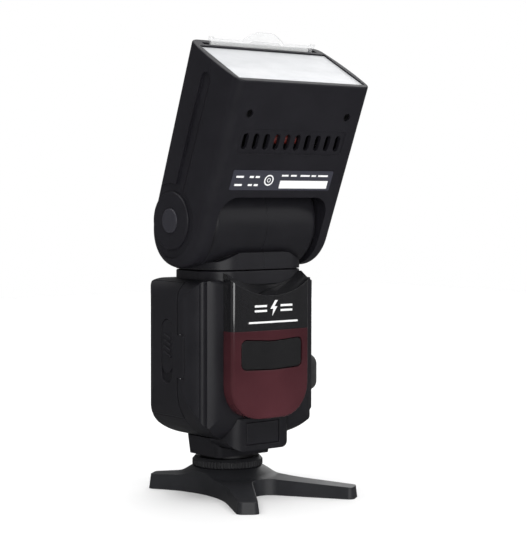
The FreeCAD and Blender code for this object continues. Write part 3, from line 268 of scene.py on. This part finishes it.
def label_film():
    """Matt blue-grey film with a very fine grain."""
    finish = Finish("label_look")
    grains = finish.noise(4200.0, 1.0)
    fade = finish.noise(90.0, 3.0)
    finish.set(Base_Color=finish.blend(fade, rgb(0.034, 0.035, 0.050), rgb(0.044, 0.045, 0.062)))
    finish.set(Roughness=finish.spread(fade, 0.3, 0.7, 0.38, 0.48))
    finish.set(Normal=finish.bump(grains, 0.06, 0.01 * MM))
    return finish.material


def printed(name, colour):
    """Screen-printed ink with slightly uneven cover."""
    finish = Finish(name)
    cover = finish.noise(2600.0, 2.0)
    finish.set(Base_Color=finish.blend(cover, lighter(colour, 0.9), colour))
    finish.set(Roughness=finish.spread(cover, 0.3, 0.7, 0.35, 0.5))
    finish.set(Normal=finish.bump(cover, 0.05, 0.01 * MM))
    return finish.material


def circuit_board():
    """Green board with a net of paler tracks."""
    finish = Finish("board_look")
    tracks = finish.add("TexVoronoi", {"feature": "DISTANCE_TO_EDGE"}, Vector=finish.place,
                        Scale=420.0).outputs["Distance"]
    lines = finish.spread(tracks, 0.02, 0.06, 1.0, 0.0)
    finish.set(Base_Color=finish.blend(lines, rgb(0.01, 0.09, 0.035), rgb(0.03, 0.2, 0.08)))
    finish.set(Roughness=finish.spread(lines, 0.0, 1.0, 0.35, 0.25))
    finish.set(Normal=finish.bump(lines, 0.2, 0.05 * MM))
    return finish.material


def display_glass():
    """Grey-green display with a faint grid of cells."""
    finish = Finish("lcd_look")
    cells = finish.add("TexBrick", Vector=finish.stretched((700.0, 700.0, 700.0)),
                       Mortar_Size=0.03).outputs["Fac"]
    tone = finish.noise(60.0, 2.0)
    finish.set(Base_Color=finish.blend(finish.calc("MULTIPLY", cells, 0.5),
                                       rgb(0.20, 0.23, 0.19), rgb(0.12, 0.14, 0.12)))
    finish.set(Roughness=finish.spread(tone, 0.3, 0.7, 0.22, 0.32))
    return finish.material


def coil_enamel():
    """Turns of red enamelled wire."""
    finish = Finish("coil_look")
    wire = finish.add("TexWave", {"bands_direction": "X"}, Vector=finish.place, Scale=700.0,
                      Distortion=0.4).outputs["Fac"]
    finish.set(Base_Color=finish.blend(wire, rgb(0.05, 0.006, 0.005), rgb(0.22, 0.026, 0.018)))
    finish.set(Roughness=finish.spread(wire, 0.0, 1.0, 0.45, 0.22))
    finish.set(Normal=finish.bump(wire, 0.6, 0.15 * MM))
    return finish.material


def cell_sleeve():
    """Plain battery wrap: dark blue on one side, silver on the other."""
    finish = Finish("cell_look")
    across = finish.add("SeparateXYZ", Vector=finish.place).outputs["X"]
    band = finish.spread(across, 4.0 * MM, 4.2 * MM, 0.0, 1.0)
    scuffs = finish.noise(300.0, 3.0)
    finish.set(Base_Color=finish.blend(band, rgb(0.03, 0.05, 0.09), rgb(0.45, 0.46, 0.48)))
    finish.set(Roughness=finish.spread(scuffs, 0.3, 0.7, 0.2, 0.35), Metallic=0.3)
    return finish.material


FINISHES = {
    "stand_plastic": moulded("stand_look", rgb(0.018, 0.0185, 0.021), 0.40, 2200.0, 0.3, 1.8, 0.5),
    "wheel_plastic": moulded("wheel_look", rgb(0.016, 0.016, 0.018), 0.42, 3200.0, 0.25, 2.2,
                             0.15),
    "body_plastic": moulded("body_look", rgb(0.0115, 0.0112, 0.0138), 0.36),
    "head_plastic": moulded("head_look", rgb(0.0120, 0.0115, 0.0148), 0.40, shine=0.24),
    "lock_button_plastic": moulded("button_look", rgb(0.026, 0.0255, 0.032), 0.36, 3200.0, 0.2),
    "gloss_cover": polished("cover_look", rgb(0.0090, 0.0088, 0.0100), 0.09),
    "red_window": red_window(),
    "smoked_window": polished("smoked_look", rgb(0.0080, 0.0080, 0.0088), 0.12),
    "lamp_lens": polished("lamp_look", rgb(0.30, 0.05, 0.04), 0.05),
    "brass": metal("brass_look", rgb(0.62, 0.43, 0.17), 0.28),
    "bright_metal": metal("plated_look", rgb(0.62, 0.62, 0.64), 0.24),
    "gold_contacts": metal("gold_look", rgb(0.80, 0.60, 0.25), 0.2),
    "blackened_screw": metal("screw_look", rgb(0.05, 0.05, 0.052), 0.4),
    "reflector_metal": metal("reflector_look", rgb(0.90, 0.90, 0.91), 0.12, (1500.0, 60.0, 60.0)),
    "motor_steel": metal("motor_look", rgb(0.5, 0.5, 0.51), 0.3),
    "cell_wrap": cell_sleeve(),
    "tray_plastic": moulded("tray_look", rgb(0.02, 0.02, 0.02), 0.5),
    "soft_rubber": rubber(),
    "circuit_board": circuit_board(),
    "capacitor_sleeve": polished("sleeve_look", rgb(0.02, 0.02, 0.03), 0.25, 0.4),
    "lcd_glass": display_glass(),
    "clear_window": clear("window_look", rgb(0.75, 0.78, 0.78), 0.88, 0.5),
    "key_rubber": moulded("key_look", rgb(0.035, 0.035, 0.038), 0.5, 3000.0, 0.2, 1.5, 0.3),
    "pilot_lamp": polished("pilot_look", rgb(0.25, 0.02, 0.015), 0.1),
    "dial_plastic": moulded("dial_look", rgb(0.02, 0.02, 0.022), 0.38, 2600.0, 0.2, 1.8, 0.2),
    "lens_plastic": clear("lens_look", rgb(0.93, 0.94, 0.96), 0.50, 0.9, 0.08),
    "panel_clear": clear("panel_look", rgb(0.88, 0.89, 0.90), 0.88, 0.32, 0.04),
    "card_white": white_card(),
    "label_film": label_film(),
    "tube_glass": clear("tube_look", rgb(0.9, 0.92, 0.95), 0.7, 0.7, 0.03),
    "coil_enamel": coil_enamel(),
}
INK = printed("ink_look", rgb(0.95, 0.95, 0.95))
LINER = liner_white()


def dress(obj, material):
    """Gives an object one material in place of all it had."""
    obj.data.materials.clear()
    obj.data.materials.append(material)


for subpart in frame["record"]["subparts"]:
    dress(NODES[subpart["node"]], FINISHES[subpart["material_slot"]])


# ------------------------------------------------------------------ pieces made here

def finish_piece(name, mesh_source, body, material, smooth_below=40.0):
    """Turns a bmesh into a piece that rides on a body."""
    bmesh.ops.remove_doubles(mesh_source, verts=mesh_source.verts, dist=1e-7)
    bmesh.ops.recalc_face_normals(mesh_source, faces=mesh_source.faces)
    mesh = bpy.data.meshes.new(name)
    mesh_source.to_mesh(mesh)
    mesh_source.free()
    for face in mesh.polygons:
        face.use_smooth = True
    mesh.set_sharp_from_angle(angle=math.radians(smooth_below))
    obj = bpy.data.objects.new(name, mesh)
    bpy.context.scene.collection.objects.link(obj)
    dress(obj, material)
    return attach(obj, body)


def facing_front(to_world, z_shift=0.0):
    """Places an outline drawn in (x, z) millimetres; its depth runs along Y."""
    return lambda x, z, y: to_world @ Vector((x * MM, y * MM, (z + z_shift) * MM))


def facing_side(to_world):
    """Places an outline drawn in (y, z) millimetres; its depth runs along X."""
    return lambda y, z, x: to_world @ Vector((x * MM, y * MM, z * MM))


def add_prism(mesh, outline, low, high, place):
    """A closed plate or bar with the outline's form, from low to high."""
    first, last = [[mesh.verts.new(place(*corner, depth)) for corner in outline]
                   for depth in (low, high)]
    mesh.faces.new(first)
    mesh.faces.new(list(reversed(last)))
    for index in range(len(outline)):
        after = (index + 1) % len(outline)
        mesh.faces.new((first[index], last[index], last[after], first[after]))


def add_ring(mesh, centre, inner, outer, low, high, place):
    """A flat closed ring."""
    count = 32
    turns = [2 * math.pi * index / count for index in range(count)]
    loops = []
    for radius, depth in ((inner, low), (outer, low), (outer, high), (inner, high)):
        loops.append([mesh.verts.new(place(centre[0] + radius * math.cos(turn),
                                           centre[1] + radius * math.sin(turn), depth))
                      for turn in turns])
    for first, second in zip(loops, loops[1:] + loops[:1]):
        for index in range(count):
            after = (index + 1) % count
            mesh.faces.new((first[index], second[index], second[after], first[after]))


def head_corners(node):
    """Lowest and highest corner of a head node in the head's own upright frame, in millimetres."""
    back = HEAD.inverted()
    corners = [back @ vertex.co for vertex in NODES[node].data.vertices]
    low = [min(corner[axis] for corner in corners) / MM for axis in range(3)]
    high = [max(corner[axis] for corner in corners) / MM for axis in range(3)]
    return low, high


def build_lens():
    """The Fresnel lens: a smooth sloping face above, and ribs below that turn over half-way."""
    low, high = head_corners("fresnel_lens")
    length = high[1] - low[1]
    ribs = 34
    rib_height = 0.42
    rib_flank = 0.02
    thickness = 1.5
    below_spare = 0.3
    slope = (high[2] - low[2] - thickness - below_spare) / length
    outline = []
    for index in range(ribs + 1):
        y = low[1] + length * index / ribs
        underside = high[2] - (high[1] - y) * slope - thickness
        lift = rib_height if index < ribs / 2 else 0.0
        outline.append((y, underside + lift))
        if index < ribs:
            outline.append((y + rib_flank, underside + rib_height - lift))
    outline.append((high[1], high[2]))
    outline.append((low[1], high[2] - length * slope))
    mesh = bmesh.new()
    add_prism(mesh, outline, -high[0], high[0], facing_side(HEAD))
    lens = finish_piece("lens_ribbed", mesh, "head", FINISHES["lens_plastic"],
                        smooth_below=10.0)
    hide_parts("fresnel_lens")


def build_liner():
    """White frame under the lens, above the reach of the moving light unit."""
    lens_low, lens_high = head_corners("fresnel_lens")
    carriage_low, carriage_high = head_corners("zoom_carriage")
    _, rods_high = head_corners("guide_rods")
    gap = 0.1
    side_margin, front_margin, rear_margin, overlap = 1.2, 1.2, 0.6, 6.6
    outer_x = lens_high[0] - side_margin
    inner_x = carriage_high[0] - overlap
    front = lens_low[1] + front_margin
    rear = lens_high[1] - rear_margin
    bottom = rods_high[2] + gap
    top = lens_low[2] - gap
    mesh = bmesh.new()
    for x_low, x_high, y_low, y_high in (
        (-outer_x, -inner_x, front, rear),
        (inner_x, outer_x, front, rear),
        (-inner_x, inner_x, front, carriage_low[1]),
        (-inner_x, inner_x, carriage_high[1], rear),
    ):
        corners = [(x_low, bottom), (x_high, bottom), (x_high, top), (x_low, top)]
        add_prism(mesh, corners, y_low, y_high, facing_front(HEAD))
    finish_piece("lens_liner", mesh, "head", LINER)


def bar(x, z, wide, tall):
    """A small rectangle from its lowest corner."""
    return [(x, z), (x + wide, z), (x + wide, z + tall), (x, z + tall)]


def build_label_print():
    """Plain marks where a rating plate carries its print: a strip, two rings and short bars."""
    low, _ = head_corners("label_plate")
    proud = 0.02
    span = (low[1] - proud, low[1] + proud)
    place = facing_front(HEAD, low[2])
    mesh = bmesh.new()
    add_prism(mesh, bar(-1.2, 0.9, 27.0, 3.6), *span, place)
    for x, wide in ((-1.0, 3.6), (4.0, 3.2), (9.4, 5.2), (15.6, 2.6), (19.4, 5.6)):
        add_prism(mesh, bar(x, 6.4, wide, 0.8), *span, place)
    for x, wide in ((-25.6, 4.0), (-18.4, 2.2), (-15.2, 2.2)):
        for z in (1.9, 5.6):
            add_prism(mesh, bar(x, z, wide, 0.9), *span, place)
    add_ring(mesh, (-7.6, 4.6), 1.9, 2.5, *span, place)
    add_ring(mesh, (-7.6, 4.6), 0.7, 1.0, *span, place)
    finish_piece("label_print", mesh, "head", INK)


def build_cover_print():
    """A plain flash symbol between short lines, with a thin line under it, on the gloss cover."""
    proud, symbol_height = 0.03, 83.6
    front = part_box("front_cover")[0].y / MM
    bolt = [(0.7, 3.4), (-1.9, -0.3), (-0.3, -0.3), (-0.9, -3.4), (1.9, 0.7), (0.3, 0.7),
            (2.2, 3.4)]
    mesh = bmesh.new()
    place = facing_front(UPRIGHT, symbol_height)
    # The cover curves back towards its sides, so the marks that reach further out are deeper.
    add_prism(mesh, bolt, front - proud, front + proud, place)
    for x in (-10.4, 3.8):
        for z in (-1.5, 0.6):
            add_prism(mesh, bar(x, z, 6.6, 0.9), front - proud, front + 0.3, place)
    add_prism(mesh, bar(-13.5, -6.4, 27.0, 0.8), front - proud, front + 0.5, place)
    finish_piece("cover_print", mesh, "flash_body", INK)


def build_panel_ledge():
    """The thumb ledge moulded across the wide panel, under its arched tab."""
    low, high = head_corners("wide_panel")
    outline = [(-7.5, -4.9), (9.5, -4.9), (8.0, -4.1), (-6.0, -4.1)]
    mesh = bmesh.new()
    add_prism(mesh, outline, low[1] - 0.35, low[1] - 0.05, facing_front(HEAD, high[2]))
    finish_piece("panel_ledge", mesh, "wide_panel", FINISHES["panel_clear"])


build_lens()
build_panel_ledge()
build_liner()
build_label_print()
build_cover_print()


# ------------------------------------------------------------------ studio

def build_floor():
    """A pale floor that is left out of reflections, so that the dark plastics stay dark."""
    half = 1.2
    mesh = bpy.data.meshes.new("floor")
    mesh.from_pydata([(-half, -half, 0), (half, -half, 0), (half, half, 0), (-half, half, 0)], [],
                     [(0, 1, 2, 3)])
    floor = bpy.data.objects.new("floor", mesh)
    bpy.context.scene.collection.objects.link(floor)
    finish = Finish("floor_look")
    paper = finish.noise(30.0, 2.0)
    finish.set(Base_Color=finish.blend(paper, rgb(0.93, 0.93, 0.93), rgb(0.96, 0.96, 0.96)))
    finish.set(Roughness=finish.spread(paper, 0.3, 0.7, 0.75, 0.85), Specular_IOR_Level=0.1)
    mesh.materials.append(finish.material)
    floor.visible_glossy = False


def build_world():
    """White to the camera, and a dim even room for everything else."""
    room_level = 0.10
    world = bpy.data.worlds.new("studio")
    bpy.context.scene.world = world
    world.use_nodes = True
    tree = world.node_tree
    background = tree.nodes["Background"]
    background.inputs["Color"].default_value = rgb(1.0, 1.0, 1.0)
    seen = tree.nodes.new("ShaderNodeLightPath").outputs["Is Camera Ray"]
    level = tree.nodes.new("ShaderNodeMapRange")
    tree.links.new(seen, level.inputs["Value"])
    level.inputs["To Min"].default_value = room_level
    level.inputs["To Max"].default_value = 1.0
    tree.links.new(level.outputs[0], background.inputs["Strength"])


def softbox(name, place, aim, size, power):
    """A rectangular lamp at a place, turned towards its aim."""
    light = bpy.data.lights.new(name, "AREA")
    light.shape = "RECTANGLE"
    light.size, light.size_y = size
    light.energy = power
    lamp = bpy.data.objects.new(name, light)
    lamp.location = place
    lamp.rotation_mode = "QUATERNION"
    lamp.rotation_quaternion = (Vector(aim) - Vector(place)).to_track_quat("-Z", "Y")
    bpy.context.scene.collection.objects.link(lamp)


def overhead_sky(strength, spread):
    """A very soft light straight down, which keeps the floor evenly white."""
    light = bpy.data.lights.new("sky", "SUN")
    light.energy = strength
    light.angle = math.radians(spread)
    lamp = bpy.data.objects.new("sky", light)
    bpy.context.scene.collection.objects.link(lamp)


def build_lights():
    middle = (0.0, 0.0, 0.11)
    overhead_sky(3.2, 80.0)
    softbox("front_left", (-1.0, -1.0, 0.7), middle, (0.7, 0.9), 3.0)
    softbox("side_left", (-1.3, 0.5, 0.45), middle, (0.5, 1.2), 0.4)
    softbox("front_low", (-0.5, -1.2, 0.22), middle, (1.2, 0.5), 6.5)
    softbox("front_right", (0.95, -1.1, 0.5), middle, (1.1, 0.9), 2.2)
    softbox("right_back", (1.0, 0.7, 0.6), middle, (0.6, 1.0), 3.0)


def build_camera():
    """The view that shows the front and the battery side, from about head height."""
    place = Vector((-0.4310, -0.5624, 0.1323))
    azimuth, pitch, roll = math.radians(-38.77), math.radians(-2.70), math.radians(0.12)
    forward = Vector((-math.sin(azimuth) * math.cos(pitch), math.cos(azimuth) * math.cos(pitch),
                      math.sin(pitch)))
    right = Vector((math.cos(azimuth), math.sin(azimuth), 0.0))
    up = right.cross(forward)
    tilted_right = math.cos(roll) * right + math.sin(roll) * up
    tilted_up = -math.sin(roll) * right + math.cos(roll) * up
    data = bpy.data.cameras.new("camera")
    data.sensor_width = 36.0
    data.lens = 105.0
    data.clip_start, data.clip_end = 0.01, 50.0
    camera = bpy.data.objects.new("camera", data)
    turn = Matrix((tilted_right, tilted_up, -forward)).transposed().to_4x4()
    camera.matrix_world = Matrix.Translation(place) @ turn
    bpy.context.scene.collection.objects.link(camera)
    bpy.context.scene.camera = camera


build_floor()
build_world()
build_lights()
build_camera()
bpy.context.scene.view_settings.view_transform = "Standard"
